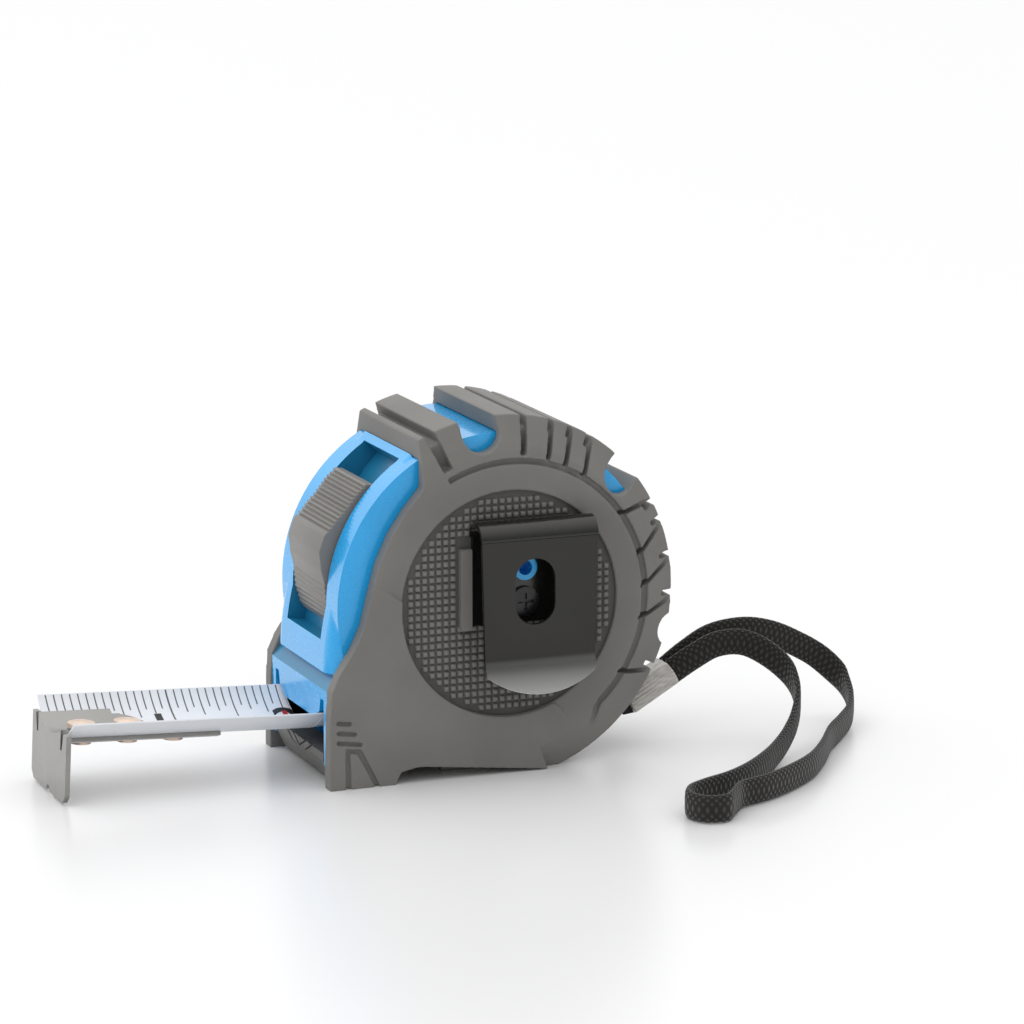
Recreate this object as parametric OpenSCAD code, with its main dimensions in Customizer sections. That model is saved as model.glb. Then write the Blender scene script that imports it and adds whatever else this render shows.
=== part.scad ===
// Retractable pocket tape measure with a rubber-jacketed case, belt clip and wrist strap.
// +Z is up, the blade leaves the mouth towards -X and the belt clip is on the -Y side.
// The origin is on the standing plane, straight under the reel's axis.

/* [Case] */
// Width over the rubber cheeks
jacket_w = 38; // [36:0.5:46]
// Width of the tread blocks
tread_w = 35; // [33.5:0.5:35.5]
// Width of the two blue shells together
case_w = 31.8; // [31.4:0.2:33]
// Radius of the tread round the back and the top
tread_r = 35.7; // [34.5:0.1:42]
// Thickness of the rubber tread over the shell
tread_t = 3.4; // [2.8:0.1:4]
// Thickness of the shell walls
wall_t = 1.4; // [1:0.1:1.6]
// Distance that the blue nose stands ahead of the reel axis
nose_x = 36; // [34:0.5:40]
// Height of the reel axis over the standing plane
reel_z = 33; // [33:0.5:38]
// Radius of the textured grip disc
disc_r = 21.8; // [20:0.1:24]
// How deep the grip disc lies under the cheek
disc_sink = 1.4; // [1:0.1:2]
// Width of the gaps between tread blocks
gap_w = 1.1; // [0.8:0.1:1.6]

/* [Blade] */
// Width of the blade laid flat
blade_w = 27; // [25:0.5:27]
// Thickness of the coated blade
blade_t = 0.3; // [0.2:0.05:0.4]
// Radius of the blade's hollow section
blade_r = 17; // [15:0.5:20]
// Height of the blade's edges in the mouth
blade_z = 13.5; // [12.5:0.1:13.8]
// Blade length outside the mouth at rest
blade_out = 48.4; // [44:0.1:52]
// Upward lean of the blade
blade_lean = 2.8; // [0:0.1:3]
// Outer radius of the wound blade
coil_r = 18; // [15:0.1:18]
// Inner radius of the wound blade
coil_in = 11.2; // [10:0.1:13]

/* [Hook] */
// Width of the hook plate
hook_w = 22.4; // [18:0.1:24]
// Height of the hook plate
hook_h = 13; // [10:0.1:13.2]
// Thickness of the hook steel
hook_t = 0.95; // [0.7:0.05:1.2]
// Length of the tab riveted on the blade
tab_l = 19; // [16:0.5:22]
// Play of the hook on its rivets
hook_play = 0.9; // [0.5:0.1:1.2]
// Distance between the rivets
rivet_gap = 9; // [8:0.5:10]

/* [Lock] */
// Width of the thumb button
button_w = 17.8; // [14:0.1:18]
// Gap on each side of the button
button_gap = 0.7; // [0.3:0.1:1]

/* [Belt clip] */
// Width of the clip leaf
clip_w = 23.6; // [18:0.2:26]
// Height of the clip leaf
clip_h = 33; // [28:0.5:35]
// Thickness of the spring steel
clip_t = 0.8; // [0.6:0.1:1]
// Clear space between the leaf and the clip's back plate
clip_gap = 5.1; // [5:0.1:6.5]

/* [Wrist strap] */
// Width of the woven band
band_w = 5.2; // [4:0.1:5.6]
// Thickness of the woven band
band_t = 1.3; // [1:0.1:1.6]

/* [Hidden] */
$fn = 96;

// clearances
slip = 0.3;          // between parts that move past each other
seat = 0.05;         // between parts that only sit together
eps = 0.01;

// case
wheel_x = -1.5;                        // centre of the tread circle
wheel_z = reel_z + 0.5;
shell_r = tread_r - tread_t;
half_case = case_w / 2;
half_jacket = jacket_w / 2;
half_tread = tread_w / 2;
half_room = half_case - wall_t;        // inside of the shells
front_x = wheel_x + 26;                // centre of the bowed front
front_z = wheel_z - 14;
front_r = front_x + nose_x - 0.5;
front_round = 4;                       // rounding of the front's long edges
top_x = -17.6;                         // where the tread starts, at the top of the front
crease_z = 21.5;                       // step between the bowed front and the nose lip
floor_z = 3.8;                         // underside of the shells
mouth_half = 13.9;
mouth_top = 16.4;
mouth_low = 6.2;
disc_y = half_jacket - disc_sink;      // face of the grip discs
disc_seat = 1.4;                       // thickness of the grip discs
spindle_r = 2.6;

// lock, in degrees about the front's centre
slot_from = 136.5;
slot_to = 172.6;
slot_half = button_w / 2 + button_gap;
slot_floor = 3.6;                      // depth of the button's track
track_r = front_r - slot_floor;
stem_half = 3;
stem_from = 150;
stem_to = 160;
lock_swing = 4.6;
slider_t = 2;

// blade
strip_half = blade_w / blade_r / 2 * 180 / PI;
strip_sag = blade_r * (1 - cos(strip_half));
strip_axis = blade_r - strip_sag;      // centre of the hollow above the blade's edges
strip_tail = 0.5;                      // blade inside the mouth
lead_l = nose_x - 4;
tongue_low = blade_z - strip_sag + 3.6; // clear of the hook's tab and rivets
tongue_half = blade_r * sin(strip_half) - 0.7;
drum_t = 0.5;

// hook
tab_gap = 0.1;
tab_half = 7.4;
ear_z = -2.4;                          // top of the hook's ears below the blade's edges
plate_t = 0.7;                         // backing plate
plate_l = 30;
rivet_x = -blade_out + 5.2;            // first rivet
rivet_r = 1.5;
head_r = 2.6;
head_t = 0.8;

// clip
clip_x = 3.8;
clip_top = 49.8;
clip_turn = (clip_gap + 2 * clip_t) / 2;
clip_hole_x = clip_x - 1;
base_y = disc_y + seat;                // back of the clip's back plate
leaf_y = base_y + clip_t + clip_gap;   // inner face of the leaf
leaf_low = clip_top - clip_h;
bend_y = base_y + clip_turn;
bend_z = clip_top - clip_turn;
clip_screw_z = 33.4;
peg_z = 39.9;
peg_r = 2.4;

// strap
pin_a = -42;                           // where the strap's pin sits on the tread circle
pin_r = 1.25;
pin_at = [wheel_x + (shell_r - 1.5) * cos(pin_a), wheel_z + (shell_r - 1.5) * sin(pin_a)];
strap_y = -4;
sleeve_a = 30;
sleeve_l = 11;
sleeve_w = 8.4;
sleeve_h = 5.2;
sleeve_from = [wheel_x, wheel_z] + (tread_r + 4.65) * [cos(-39.57), sin(-39.57)];
sleeve_to = [sleeve_from.x + sleeve_l * cos(sleeve_a), sleeve_from.y + sleeve_l * sin(sleeve_a)];

// the wrist strap's loop, from the sleeve out and back to it
route = [
  [39.2, -5.4, 13.2], [43.5, -5.8, 15.8], [48.5, -6, 18], [54, -6.6, 18], [58.5, -9, 15.6],
  [61, -13, 12.4], [60.5, -18, 9], [57.5, -23, 5.8], [53, -28.5, 3.6], [48, -34.5, 2.8],
  [43, -40.5, 2.8], [37, -46.5, 2.8], [31, -51, 2.8], [25, -54, 2.8], [20.5, -57, 2.8],
  [18.5, -61, 2.8], [20, -65, 2.8], [24, -65.5, 2.8], [27, -62, 2.8], [30.5, -58, 2.8],
  [36.5, -55.5, 2.8], [43.5, -51, 2.8], [51, -44.5, 2.8], [57.5, -36, 2.8], [63, -27.5, 2.8],
  [69, -20, 2.8], [74, -13.5, 3.2], [77, -7.5, 4.8], [77.5, -2, 7.6], [74, 0.8, 11.6],
  [68.5, 0.8, 15], [62.5, -0.2, 17.8], [56, -1.2, 19.2], [49, -1.8, 18.6], [43.5, -2.3, 16],
  [39.2, -2.6, 13.2]
];

// tread: the angle of each gap between blocks, how far it slants on the sides, and its width in gap widths
gaps = [
  [113, 0, 2], [81.9, 0, 1.2], [72.5, 1, 1], [65.8, 2, 1], [58.8, 4, 1], [27.6, -5, 1], [21.7, 8, 1],
  [10, 9, 1], [-2.5, 9, 1], [-26.5, 7, 1]
];
gap_deep = 2.5;
groove_low = 28.2;                     // where the side grooves end, from the tread's centre
// windows over the shells: the angle and half the width
windows = [[97.2, 3.7], [42.6, 3.4]];

function unit(v) = v / norm(v);
function turn_2d(c, r, a) = [c.x + r * cos(a), c.y + r * sin(a)];
function arc_points(c, r, a0, a1, n) = [for (i = [0:n]) turn_2d(c, r, a0 + (a1 - a0) * i / n)];
function spline_at(p, i, t) =
  let (n = len(p), a = p[max(i - 1, 0)], b = p[i], c = p[min(i + 1, n - 1)], d = p[min(i + 2, n - 1)])
  0.5 * (2 * b + (c - a) * t + (2 * a - 5 * b + 4 * c - d) * t * t + (3 * b - a - 3 * c + d) * t * t * t);

// flat outlines are drawn as X and Z, and stand between y0 and y1
module between(y0, y1) {
  translate([0, y1, 0]) rotate([90, 0, 0]) linear_extrude(y1 - y0) children();
}
// a solid of revolution about a line along Y, drawn as radius and Y
module spun(x, z) {
  translate([x, 0, z]) rotate([-90, 0, 0]) rotate_extrude() children();
}
module bar_y(x, z, r, y0, y1) {
  translate([x, y1, z]) rotate([90, 0, 0]) cylinder(r = r, h = y1 - y0);
}
module in_blade_frame() {
  translate([-nose_x, 0, blade_z]) rotate([0, blade_lean, 0]) children();
}
module along_x(x0, x1) {
  translate([x0, 0, 0]) rotate([90, 0, 90]) linear_extrude(x1 - x0) children();
}
// part of a round hollow section: radii r0 to r1, half width in degrees, drawn as Y and Z
module trough(r0, r1, half_a) {
  translate([0, strip_axis]) intersection() {
    difference() {
      circle(r = r1, $fn = 180);
      circle(r = r0, $fn = 180);
    }
    polygon([[0, 0], 2 * r1 * [-sin(half_a), -cos(half_a)], [0, -4 * r1], 2 * r1 * [sin(half_a), -cos(half_a)]]);
  }
}
// a wedge about the front's centre, between two angles
module front_wedge(a0, a1, r) {
  polygon(concat([[front_x, front_z]], arc_points([front_x, front_z], r, a0, a1, 6)));
}
module front_ring(r0, r1, a0, a1) {
  intersection() {
    difference() {
      translate([front_x, front_z]) circle(r = r1, $fn = 180);
      translate([front_x, front_z]) circle(r = r0, $fn = 180);
    }
    front_wedge(a0, a1, 2 * front_r);
  }
}

// the shells' outer form, or their room when inset is the wall
module case_form(inset = 0) {
  half = half_case - inset;
  between(-half, half) difference() {
    translate([wheel_x, wheel_z]) circle(r = shell_r - inset, $fn = 180);
    translate([-60, floor_z + inset - 60]) square([120, 60]);
  }
  intersection() {
    spun(front_x, front_z) difference() {
      translate([0, -half]) square([front_r - inset, 2 * half]);
      for (m = [0, 1]) mirror([0, m]) translate([front_r - inset - front_round, half - front_round])
        difference() {
          square(front_round + 1);
          circle(r = front_round);
        }
    }
    between(-half, half) polygon([
      [-nose_x - 6, crease_z + inset], [wheel_x, crease_z + inset], [wheel_x, wheel_z],
      [top_x - 0.2, wheel_z + 20], [top_x - 0.2, wheel_z + 40], [-nose_x - 6, wheel_z + 40]
    ]);
  }
  between(-half, half) polygon([
    [-nose_x + inset, floor_z + inset], [10 - inset, floor_z + inset], [wheel_x, wheel_z],
    [-30, crease_z + 8], [-nose_x + 2.6 + inset, crease_z + inset / 2], [-nose_x + inset, crease_z - 3]
  ]);
}
// what is open in both shells: the button's track, its stem slot, the mouth and the strap's pocket
module case_openings() {
  between(-slot_half, slot_half) front_ring(track_r, front_r + 2, slot_from, slot_to);
  between(-stem_half - slip, stem_half + slip)
    front_ring(track_r - 8, track_r + 1, stem_from - lock_swing - 1.5, stem_to + 1.5);
  difference() {
    between(-mouth_half, mouth_half) polygon([
      [-nose_x - 3, mouth_low], [-nose_x + 5, mouth_low], [-nose_x + 5, mouth_top], [-nose_x - 3, mouth_top]
    ]);
    // a tongue of the front wall hangs into the blade's hollow, clear of the hook's tab and rivets
    along_x(-nose_x - 4, -nose_x + wall_t) polygon([
      [-tongue_half - 1, mouth_top + 1], [-tongue_half, blade_z + 0.4], [-tongue_half + 2.8, tongue_low],
      [tongue_half - 2.8, tongue_low], [tongue_half, blade_z + 0.4], [tongue_half + 1, mouth_top + 1]
    ]);
  }
  // room for the nose bumper under the mouth
  between(-mouth_half, mouth_half) polygon([
    [-nose_x - 3, -1], [-nose_x + 5, -1], [-nose_x + 5, mouth_low + eps], [-nose_x - 3, mouth_low + eps]
  ]);
  strap_pocket();
}
module strap_pocket() {
  between(strap_y - 4, strap_y + 4) translate([wheel_x, wheel_z]) rotate(pin_a) polygon([
    [shell_r - 4.6, -4.4], [tread_r + 2, -5.6], [tread_r + 2, 4.6], [shell_r - 4.6, 3.6]
  ]);
}
screw_at = [[-23.5, 23], [24.5, 22], [-10.5, 58.5], [19, 53]];
boss_r = 2.8;
screw_r = 1.3;
module case_half(side) {
  difference() {
    intersection() {
      union() {
        difference() {
          case_form();
          case_form(wall_t);
        }
        // floor and walls of the button's track
        intersection() {
          between(-slot_half - 1.4, slot_half + 1.4)
            front_ring(track_r - 1.4, front_r - 0.4, slot_from - 1.2, slot_to + 1.2);
          case_form(0.2);
        }
        // screw bosses from wall to wall
        for (p = screw_at) intersection() {
          bar_y(p.x, p.y, boss_r, -half_case + 0.2, half_case - 0.2);
          case_form(0.2);
        }
        // walls of the strap's pocket
        intersection() {
          between(strap_y - 5.2, strap_y + 5.2) translate([wheel_x, wheel_z]) rotate(pin_a)
            polygon([[shell_r - 5.8, -6], [shell_r, -7], [shell_r, 6], [shell_r - 5.8, 4.8]]);
          case_form(0.2);
        }
      }
      between(side < 0 ? -half_case - 1 : 0, side < 0 ? 0 : half_case + 1)
        translate([-60, -5]) square([120, 90]);
    }
    case_openings();
    for (p = screw_at) bar_y(p.x, p.y, screw_r, -half_case + 2, half_case + 1);
    bar_y(0, reel_z, spindle_r + seat, -half_case - 1, half_case + 1);
    bar_y(pin_at.x, pin_at.y, pin_r + seat, strap_y - 7, strap_y + 7);
    if (side < 0) bar_y(clip_hole_x, clip_screw_z, screw_r, -half_case - 1, -half_case + wall_t - 0.2);
  }
}
module case_left() {
  color("#3cb4f0") difference() {
    union() {
      case_half(-1);
      // hollow peg that keeps the clip from turning
      bar_y(clip_hole_x, peg_z, peg_r, -base_y - clip_t - 0.7, -half_case + 0.3);
    }
    bar_y(clip_hole_x, peg_z, peg_r - 1, -30, -half_case + 0.6);
  }
}
module case_right() {
  color("#3cb4f0") case_half(1);
}

// outline of a cheek, drawn as X and Z
module cheek_outline() {
  difference() {
    union() {
      intersection() {
        translate([wheel_x, wheel_z]) circle(r = tread_r, $fn = 180);
        translate([top_x, 0]) square([80, 90]);
      }
      polygon([
        [top_x, wheel_z + 28], [top_x, wheel_z + 23], [-21, wheel_z + 19], [-24, wheel_z + 14.6],
        [-26.6, wheel_z + 9], [-28.4, wheel_z + 2.4], [-29.6, wheel_z - 2.6], [-31.8, wheel_z - 7.2],
        [-nose_x + 1.4, crease_z + 0.6], [-nose_x, 19], [-nose_x - 0.4, 14], [-nose_x - 0.6, 0],
        [10, 0], [wheel_x, wheel_z]
      ]);
    }
    // the arch between the foot and the heel
    polygon([[-23.5, -3], [-23.5, 0], [-22.2, 2.3], [-18.6, 3], [8, 0], [8, -3]]);
    translate([-60, -20]) square([120, 20]);
  }
}
// flat sole between the cheeks
module sole() {
  between(-13, 13) polygon([[-12, 0], [10, 0], [10, 5], [-12, 5]]);
}
// the rubber's side faces lean in towards the tread and dish towards the disc
module jacket_block() {
  intersection() {
    union() {
      between(-half_tread, half_tread) cheek_outline();
      intersection() {
        between(-half_jacket, half_jacket) cheek_outline();
        union() {
          spun(0, reel_z) polygon([
            [0, -half_jacket + 0.6], [disc_r + 1, -half_jacket + 0.6], [27, -half_jacket], [29.5, -half_jacket],
            [44, -half_tread + 2.2], [44, half_tread - 2.2], [29.5, half_jacket], [27, half_jacket],
            [disc_r + 1, half_jacket - 0.6], [0, half_jacket - 0.6]
          ]);
          between(-half_jacket, half_jacket) polygon([
            [-nose_x - 2, -1], [20, -1], [10, 12], [-20, 34], [-29, 40], [-nose_x - 2, 24]
          ]);
        }
      }
    }
    // top edges of the tread are bevelled
    union() {
      spun(wheel_x, wheel_z) polygon([
        [0, -30], [tread_r - 6, -30], [tread_r - 6, -half_jacket], [tread_r, -half_tread + 1.2],
        [tread_r, half_tread - 1.2], [tread_r - 6, half_jacket], [tread_r - 6, 30], [0, 30]
      ]);
      between(-30, 30) polygon([[-60, -1], [8, -1], [0, 20], [-26, 50], [-60, 60]]);
    }
  }
}
module tread_cuts() {
  c = [wheel_x, wheel_z];
  for (g = gaps) {
    // across the tread
    translate([wheel_x, 0, wheel_z]) rotate([0, -g[0], 0])
      translate([tread_r - gap_deep, -30, -g[2] * gap_w / 2]) cube([6, 60, g[2] * gap_w]);
    // and down both sides
    for (m = [-1, 1]) between(m < 0 ? -30 : half_tread - 1.4, m < 0 ? -half_tread + 1.4 : 30) polygon([
      turn_2d(c, groove_low, g[0] - g[1] - 0.9 * g[2] * gap_w), turn_2d(c, tread_r + 2, g[0] - 0.8 * g[2] * gap_w),
      turn_2d(c, tread_r + 2, g[0] + 0.8 * g[2] * gap_w), turn_2d(c, groove_low, g[0] - g[1] + 0.9 * g[2] * gap_w)
    ]);
  }
  // windows over the shells, with a round end low on each side
  for (w = windows) between(-30, 30) translate(c) rotate(w[0]) {
    translate([shell_r + 0.5, 0]) circle(r = w[1], $fn = 48);
    translate([shell_r + 0.5, -w[1]]) square([8, 2 * w[1]]);
  }
  // a scallop in the heel side of the tread
  between(-30, 30) translate(turn_2d([wheel_x, wheel_z], tread_r + 1.2, -14)) circle(r = 3.2, $fn = 48);
  // ring groove round the disc's collar, open towards the nose
  for (m = [-1, 1]) difference() {
    spun(0, reel_z) translate([27, m * (half_jacket - 0.3) - 0.8]) square([1.1, 1.6]);
    between(-30, 30) polygon([
      [0, reel_z], turn_2d([0, reel_z], 60, 117), [-80, 40], [-80, -60], turn_2d([0, reel_z], 60, -49)
    ]);
  }
  // and its straight tail down to the heel
  for (m = [-1, 1]) between(m < 0 ? -30 : half_jacket - 1.1, m < 0 ? -half_jacket + 1.1 : 30)
    polygon([[17.1, reel_z - 21.2], [18.6, reel_z - 20.4], [15.4, -1], [14.2, -1]]);
}
module foot_cuts() {
  for (m = [0, 1]) mirror([0, m, 0]) {
    y0 = -half_jacket - 1;
    y1 = -half_jacket + 0.8;
    // three short grooves that lengthen downwards
    for (i = [0:2]) between(y0, y1)
      polygon([
        [-35.2, 13.4 - 1.9 * i], [-32.2 + 1.1 * i, 13 - 2.1 * i],
        [-32.2 + 1.1 * i, 12.2 - 2.1 * i], [-35.2, 12.6 - 1.9 * i]
      ]);
    // slits each side of the foot's wedge
    between(y0, y1) polygon([[-33.4, 7.9], [-32.6, 7.9], [-32.3, -1], [-33.3, -1]]);
    between(y0, y1) polygon([[-33.4, 7.9], [-30.3, 7.5], [-26, -1], [-27, -1], [-31, 6.7], [-33.4, 7.1]]);
  }
}
module rubber_jacket() {
  color("#5a5956") difference() {
    union() {
      jacket_block();
      sole();
    }
    case_form(-seat);
    // everything ahead of the cheeks' front edge and between them is the shells' front
    between(-half_case - seat, half_case + seat)
      polygon([[-60, -5], [-nose_x + 7, -5], [-nose_x + 7, 10], [-20, 30], [top_x, 60], [top_x, 90], [-60, 90]]);
    // the inside of the shells, where the jacket has no skin
    between(-half_case - seat, half_case + seat) polygon([[-32, 4], [6, 4], [6, 30], [-32, 30]]);
    tread_cuts();
    foot_cuts();
    for (m = [-1, 1]) bar_y(0, reel_z, disc_r + seat, m < 0 ? -30 : half_case, m < 0 ? -half_case : 30);
    for (p = screw_at) bar_y(p.x, p.y, 2.6, half_case - 1, 30);
    strap_pocket();
  }
}
module grip_disc(side) {
  y0 = half_case + seat;
  difference() {
    mirror([0, side < 0 ? 1 : 0, 0]) bar_y(0, reel_z, disc_r, y0, disc_y);
    if (side < 0) {
      bar_y(clip_hole_x, clip_screw_z, screw_r + 0.1, -30, 0);
      bar_y(clip_hole_x, peg_z, peg_r + seat, -30, 0);
    }
  }
}
module grip_disc_left() {
  color("#555350") grip_disc(-1);
}
module grip_disc_right() {
  color("#555350") difference() {
    grip_disc(1);
    for (p = screw_at) bar_y(p.x, p.y, 2.6, 0, 30);
  }
}

// belt clip
module clip_pad() {
  color("#4d4b49") between(-disc_y - 1.4, -disc_y - seat)
    translate([clip_x - clip_w / 2 - 2.2, 28.6]) square([2.3, 15.6]);
}
module clip_base() {
  color("#2f2f2f") difference() {
    union() {
      between(-base_y - clip_t, -base_y)
        translate([clip_x - clip_w / 2 + 0.3, 29.4]) square([clip_w - 0.6, bend_z - 29.4 + eps]);
      // the bend over the top
      along_x(clip_x - clip_w / 2, clip_x + clip_w / 2) difference() {
        translate([-bend_y, bend_z]) circle(r = clip_turn);
        translate([-bend_y, bend_z]) circle(r = clip_turn - clip_t);
        translate([-bend_y - 20, bend_z - 40]) square([40, 40]);
      }
    }
    bar_y(clip_hole_x, clip_screw_z, screw_r + 0.1, -30, 0);
    bar_y(clip_hole_x, peg_z, peg_r + seat, -30, 0);
  }
}
module clip_leaf() {
  flare = 7 * tan(14);
  color("#2b2b2b") difference() {
    intersection() {
      // the bent strip, seen from its end
      along_x(clip_x - clip_w / 2 - 1, clip_x + clip_w / 2 + 1) polygon([
        [-leaf_y, bend_z - 0.02], [-leaf_y - clip_t, bend_z - 0.02], [-leaf_y - clip_t, leaf_low + 6.9],
        [-leaf_y - clip_t - flare, leaf_low], [-leaf_y - flare, leaf_low], [-leaf_y, leaf_low + 7]
      ]);
      // its outline, seen from the front
      between(-leaf_y - 10, -leaf_y + 1) intersection() {
        polygon([
          [clip_x - clip_w / 2, bend_z], [clip_x - clip_w / 2 + 0.8, leaf_low - 1],
          [clip_x + clip_w / 2 - 0.8, leaf_low - 1], [clip_x + clip_w / 2, bend_z]
        ]);
        union() {
          translate([clip_x - clip_w, leaf_low + 5]) square([2 * clip_w, 60]);
          translate([clip_x, leaf_low + 18]) circle(r = 18, $fn = 180);
        }
      }
    }
    // the long hole over the screw and the peg
    for (z = [clip_screw_z + 0.7, peg_z - 1.2]) bar_y(clip_hole_x, z, 4, -30, -leaf_y + 1);
    between(-30, -leaf_y + 1) translate([clip_hole_x - 4, clip_screw_z + 0.7])
      square([8, peg_z - clip_screw_z - 1.9]);
  }
}
module clip_screw() {
  head_y = -base_y - clip_t;
  color("#3a3a3a") difference() {
    union() {
      bar_y(clip_hole_x, clip_screw_z, 2.8, head_y - 0.8, head_y - 0.02);
      bar_y(clip_hole_x, clip_screw_z, screw_r - seat, head_y - 0.1, -half_case + wall_t - 0.3);
    }
    for (a = [0, 90]) translate([clip_hole_x, head_y - 0.8, clip_screw_z]) rotate([0, a, 0])
      cube([3.2, 1, 0.6], center = true);
  }
}

module case_screws() {
  color("#44464a") for (p = screw_at) difference() {
    union() {
      bar_y(p.x, p.y, screw_r - seat, -half_case + 3, half_case + seat);
      bar_y(p.x, p.y, 2.3, half_case + seat, half_case + 1.3);
    }
    for (a = [0, 90]) translate([p.x, half_case + 1.3, p.y]) rotate([0, a, 0]) cube([3, 1.4, 0.6], center = true);
  }
}

// reel
module spindle_post() {
  color("#8a8d90") difference() {
    bar_y(0, reel_z, spindle_r, -half_case, half_case);
    // the spring's inner end sits in this slot
    translate([-0.35, -9, reel_z]) cube([0.7, 18, 4]);
    // and the clip's screw keys into this notch, which keeps the post from turning
    bar_y(clip_hole_x, clip_screw_z, screw_r + 0.1, -half_case - 1, -half_case + wall_t);
  }
}
module reel_drum() {
  color("#30353a") {
    difference() {
      union() {
        bar_y(0, reel_z, coil_in - seat, -blade_w / 2 + drum_t, blade_w / 2);
        bar_y(0, reel_z, coil_r + 1, blade_w / 2 + 0.1, blade_w / 2 + 0.6);
        bar_y(0, reel_z, coil_in - 2, blade_w / 2 - 1, blade_w / 2 + 0.3);
      }
      bar_y(0, reel_z, coil_in - 1.4, -30, blade_w / 2 - 1.2);
      bar_y(0, reel_z, spindle_r + seat, -30, 30);
    }
  }
}
module reel_cover() {
  color("#30353a") difference() {
    union() {
      bar_y(0, reel_z, coil_r + 1, -blade_w / 2 - 0.6, -blade_w / 2 - 0.1);
      bar_y(0, reel_z, coil_in - 1.5, -blade_w / 2 - 0.3, -blade_w / 2 + 1);
    }
    bar_y(0, reel_z, spindle_r + seat, -30, 30);
  }
}
module blade_coil() {
  color("#dfe3ea") difference() {
    bar_y(0, reel_z, coil_r, -blade_w / 2, blade_w / 2);
    bar_y(0, reel_z, coil_in, -30, 30);
  }
}
// a flat spiral, wound from the post out to the drum
spring_turns = 5;
spring_t = 0.25;
module power_spring() {
  r0 = spindle_r + 0.5;
  r1 = coil_in - 1.9;
  n = spring_turns * 24;
  color("#6d7278") between(-8, 8) translate([0, reel_z]) polygon(concat(
    [for (i = [0:n]) (r0 + (r1 - r0) * i / n) * [cos(360 * i / 24), sin(360 * i / 24)]],
    [for (i = [n:-1:0]) (r0 + spring_t + (r1 - r0) * i / n) * [cos(360 * i / 24), sin(360 * i / 24)]]
  ));
}

// blade
module blade_strip() {
  color("#dfe3ea") in_blade_frame() difference() {
    along_x(-blade_out + seat, strip_tail) trough(blade_r - blade_t / 2, blade_r + blade_t / 2, strip_half);
    for (i = [0:2]) translate([rivet_x + rivet_gap * i, 0, -strip_sag - 3]) cylinder(r = rivet_r + seat, h = 6);
  }
}
// the blade flattens here, between the mouth and the reel
lead_cols = 10;
lead_rows = 8;
function lead_point(u, v, side) =
  let (
    a = strip_half * (1 - 0.9 * u),
    r = blade_w / 2 / (a * PI / 180) + side * blade_t / 2,
    from_z = blade_z - strip_tail * sin(blade_lean) - strip_sag,
    to_z = reel_z - coil_r - 0.9,
    s = u * u * (3 - 2 * u)
  )
  [
    -nose_x + strip_tail + 0.1 + lead_l * u,
    r * sin(a * v),
    from_z * (1 - s) + to_z * s + r * (1 - cos(a * v)) - side * blade_t / 2
  ];
module blade_lead() {
  n = 2 * lead_cols + 2;
  ring = function (i) concat(
    [for (j = [0:lead_cols]) lead_point(i / lead_rows, 2 * j / lead_cols - 1, 1)],
    [for (j = [lead_cols:-1:0]) lead_point(i / lead_rows, 2 * j / lead_cols - 1, -1)]
  );
  color("#dfe3ea") polyhedron(
    points = [for (i = [0:lead_rows]) each ring(i)],
    faces = concat(
      [[for (k = [0:n - 1]) k]],
      [for (i = [0:lead_rows - 1], k = [0:n - 1]) each [
        [i * n + k, (i + 1) * n + k, (i + 1) * n + (k + 1) % n],
        [i * n + k, (i + 1) * n + (k + 1) % n, i * n + (k + 1) % n]
      ]],
      [[for (k = [n - 1:-1:0]) lead_rows * n + k]]
    )
  );
}

// hook
module rivet_hole(r) {
  for (i = [0:1]) translate([rivet_x + rivet_gap * i, 0, -strip_sag - 3]) {
    cylinder(r = r, h = 6);
    translate([hook_play, 0, 0]) cylinder(r = r, h = 6);
    translate([0, -r, 0]) cube([hook_play, 2 * r, 6]);
  }
}
tab_r = blade_r - blade_t / 2 - tab_gap;
module end_hook() {
  x0 = -blade_out - hook_t;
  color("#a8a6a2") in_blade_frame() difference() {
    union() {
      // plate with ears, chamfered corners and a nail notch
      along_x(x0, x0 + hook_t) difference() {
        polygon([
          [-hook_w / 2, ear_z], [-tab_half - 1.8, ear_z], [-tab_half - 0.8, ear_z - 3.4],
          [tab_half + 0.8, ear_z - 3.4], [tab_half + 1.8, ear_z], [hook_w / 2, ear_z],
          [hook_w / 2, ear_z - hook_h + 1.5], [hook_w / 2 - 1.5, ear_z - hook_h],
          [-hook_w / 2 + 1.5, ear_z - hook_h], [-hook_w / 2, ear_z - hook_h + 1.5]
        ]);
        translate([0, ear_z - hook_h]) circle(r = 1.1, $fn = 32);
      }
      // neck and tab, hollow like the blade
      intersection() {
        along_x(x0, -blade_out + tab_l) trough(tab_r - hook_t, tab_r, strip_half);
        translate([0, 0, -9]) linear_extrude(9) union() {
          translate([x0, -tab_half]) square([tab_l + hook_t - 6, 2 * tab_half]);
          translate([-blade_out + tab_l - 6, 0]) scale([6 / tab_half, 6 / tab_half])
            circle(r = tab_half, $fn = 64);
          translate([-blade_out + tab_l - 6.5, -6]) square([2, 12]);
        }
      }
      along_x(x0, x0 + hook_t) difference() {
        translate([-tab_half, ear_z - 4.4]) square([2 * tab_half, 4.4]);
        translate([0, strip_axis]) circle(r = tab_r - hook_t, $fn = 180);
      }
    }
    rivet_hole(rivet_r + 0.1);
  }
}
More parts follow.
